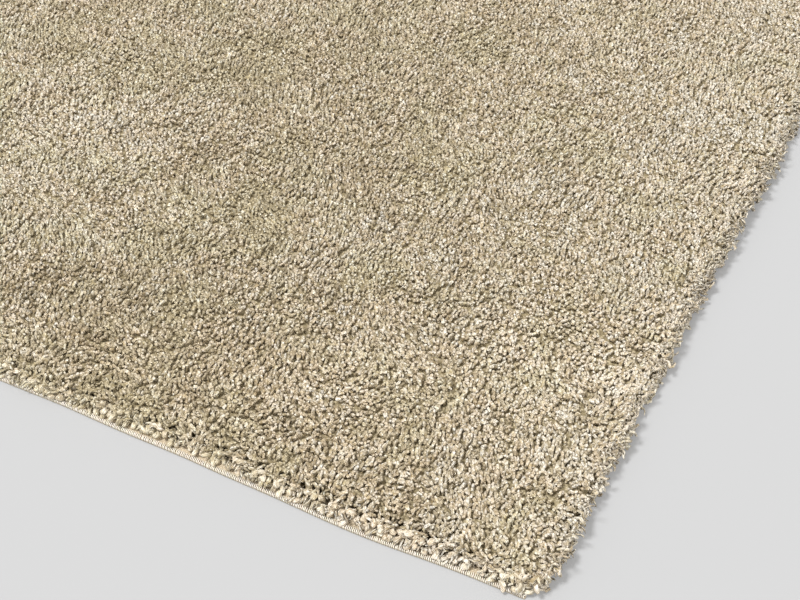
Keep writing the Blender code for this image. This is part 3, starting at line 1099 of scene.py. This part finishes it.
def buildPileBed(material):
    # the close-packed lower yarn, whose dark colour is painted shade between the strands
    lineX = bedLine(flatHalfWide, flatHalfWide + bed["sideSpan"] * pile["sideRound"], bed["sidePoints"])
    lineY = bedLine(flatHalfLong, flatHalfLong + bed["endSpan"] * pile["endRound"], bed["endPoints"])
    skin, normal, *_ = pileSkin(*np.meshgrid(lineX, lineY, indexing="ij"))
    top = (skin - bed["depth"] * normal).reshape(-1, 3)
    low = clothTop + seat
    top[:, 2] = np.maximum(top[:, 2], low + bed["thinnest"])
    upper, rim = gridFaces(len(lineX), len(lineY))
    foot = top[rim].copy()
    foot[:, 2] = low
    ring = len(top) + np.arange(len(rim))
    walls = np.stack([rim, ring, np.roll(ring, -1), np.roll(rim, -1)], axis=-1)
    middle = len(top) + len(rim)
    points = np.concatenate([top, foot, [[0.0, 0.0, low]]])
    under = np.stack([np.roll(ring, -1), ring, np.full(len(ring), middle)], axis=-1)
    mesh = meshFromArrays("pile_bed", points, np.concatenate([upper, walls]), under)
    piece = newPiece("pile_bed", mesh, material)
    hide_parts("pile")
    return piece


edging = {
    "seed": 90,
    "stitchPitch": 0.0018,
    "pitchUneven": 0.00015,
    "slant": 0.9,  # of the pitch
    "thread": 0.00075,
    "threadUneven": (0.9, 1.12),
    "short": 0.0006,
    "innerFoot": 0.0042,
    "footUneven": (0.9, 1.1),
    "nose": 0.0008,
    "shade": (0.78, 0.12),  # mean and spread
    "form": evenForm((1.0, 1.0, 1.0, 1.0)),
    "tails": 4,  # stitch ends left at each corner
    "tailStep": 0.0030,
    "tailReach": (0.0051, 0.0063),
    "tailRise": 0.001,
    "tailThread": 0.0009,
}


def endStitches(half, end, rng):
    # whipped stitches, each slanting over the cloth's raw end
    count = int(2 * half / edging["stitchPitch"])
    x = -half + (np.arange(count) + 0.5) * 2 * half / count + rng.normal(0, edging["pitchUneven"], count)
    thread = edging["thread"] * rng.uniform(*edging["threadUneven"], count)
    top = clothTop + seat + thread
    foot, nose = edging["innerFoot"] * rng.uniform(*edging["footUneven"], count), edging["nose"]
    # places along a stitch: slants to the side, reach past the raw end, height
    places = (
        (-0.5, -foot, clothTop + 0.2 * thread),
        (-0.2, -0.55 * foot, top + 0.25 * thread),
        (0.1, 0.25 * nose, top),
        (0.4, nose, 0.5 * top),
        (0.5, 0.6 * nose, 0.9 * thread),
    )
    line = np.zeros((count, len(places), 3))
    for k, (shift, out, height) in enumerate(places):
        px = x + edging["stitchPitch"] * edging["slant"] * shift
        line[:, k] = np.stack([px, endLine(px, end) + end * out, height], axis=1)
    tone = toneNumber(rng.normal(*edging["shade"], count))
    row = rng.integers(0, rowCount, count).astype(float)
    return strandArrays(line, thread, edging["form"], np.zeros(count), tone, row)


def cornerTails(half, side, end):
    tails, thread, form = edging["tails"], edging["tailThread"], edging["form"]
    reachX, reachY = edging["tailReach"]
    rootX = side * (half - edging["tailStep"] * (np.arange(tails) + 0.5))
    rootY = endLine(rootX, end) + end * 0.2 * thread
    root = np.stack([rootX, rootY, np.full(tails, clothTop + seat + thread)], axis=1)
    reach = np.tile((side * reachX, -end * reachY, edging["tailRise"]), (tails, 1))
    line = root[:, None] + form["shares"][None, :, None] * reach[:, None]
    palest = np.full(tails, toneCount - 1.0)
    return strandArrays(line, np.full(tails, thread), form, np.zeros(tails), palest, np.ones(tails))


def buildEdging(name, node, end, yarn):
    half = rugHalfWide - edging["short"]
    stitches = [endStitches(half, end, np.random.default_rng(edging["seed"] + end))]
    stitches += [cornerTails(half, side, end) for side in (-1, 1)]
    piece = newPiece(name, strandMesh(name, stitches), yarn)
    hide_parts(node)
    return piece


studio = {
    "floor": (0.285, 0.289, 0.296),
    "floorHalf": 60.0,
    "floorRoughness": 0.9,
    "floorGlow": 0.19,  # the lit studio floor lightens its own shadows
    # lamps: strength, degrees across, degrees round from the view (180 is from the left), degrees high
    "lamps": ((3.3, 16.0, 190.0, 63.0), (1.25, 60.0, 310.0, 27.0)),
    "lampColour": (1.0, 0.995, 0.985),
    "sky": 0.68,
    "skyColour": (1.0, 0.976, 0.94),
}


def buildFloor():
    half = studio["floorHalf"]
    corners = [(x * half, y * half, 0) for x, y in ((-1, -1), (1, -1), (1, 1), (-1, 1))]
    mesh = bpy.data.meshes.new("floor")
    mesh.from_pydata(corners, [], [(0, 1, 2, 3)])
    material, _, shader = newMaterial("floor", studio["floorRoughness"])
    shader.inputs["Base Color"].default_value = (*studio["floor"], 1.0)
    shader.inputs["Emission Strength"].default_value = studio["floorGlow"]
    mesh.materials.append(material)
    floor = bpy.data.objects.new("floor", mesh)
    bpy.context.scene.collection.objects.link(floor)


def buildLight():
    for k, (strength, across, around, high) in enumerate(studio["lamps"]):
        lamp = bpy.data.lights.new(f"lamp_{k + 1}", "SUN")
        lamp.energy = strength
        lamp.angle = math.radians(across)
        lamp.color = studio["lampColour"]
        holder = bpy.data.objects.new(f"lamp_{k + 1}", lamp)
        turned, raised = math.radians(view["heading"] + around), math.radians(high)
        level = math.cos(raised)
        source = Vector((math.cos(turned) * level, math.sin(turned) * level, math.sin(raised)))
        holder.rotation_euler = (-source).to_track_quat("-Z", "Y").to_euler()
        bpy.context.scene.collection.objects.link(holder)
    world = bpy.data.worlds.new("studio")
    world.use_nodes = True
    sky = world.node_tree.nodes["Background"]
    sky.inputs["Color"].default_value = (*studio["skyColour"], 1.0)
    sky.inputs["Strength"].default_value = studio["sky"]
    bpy.context.scene.world = world
    bpy.context.scene.view_settings.view_transform = "Standard"


buildCamera()
buildFloor()
buildLight()
print("stage: camera, floor and light")
yarn = yarnMaterial("pile_yarn_twisted", yarnLook)
bindingYarn = yarnMaterial("binding_yarn_whipped", bindingLook)
woven = wovenMaterial("ground_cloth_weave", clothLook)
bunchYarn = yarnMaterial("pile_yarn_bunched", bunchLook)
deepPaintedShadeYarn = deepPaintedShadeMaterial("pile_yarn_deep_painted_shade", deepPaintedShadeLook)
print("stage: materials")
groundCloth = buildGroundCloth(woven)
edgingNear = buildEdging("edging_near_stitches", "edging_near", -1, bindingYarn)
edgingFar = buildEdging("edging_far_stitches", "edging_far", 1, bindingYarn)
print("stage: ground cloth and edging")
pileBed = buildPileBed(deepPaintedShadeYarn)
bands = buildPile(yarn)
endPiles = [buildEndRows(-1, yarn), buildEndRows(1, yarn), buildStrays(yarn),
            buildBunches(-1, bunchYarn), buildBunches(1, bunchYarn)]
print("stage: end rows, bunches and stray ends")

total = 0
for piece in [groundCloth, edgingNear, edgingFar, pileBed, *endPiles, *bands]:
    count = sum(len(face.vertices) - 2 for face in piece.data.polygons)
    total += count
    print("triangles", piece.name, count)
print("triangles in all", total)
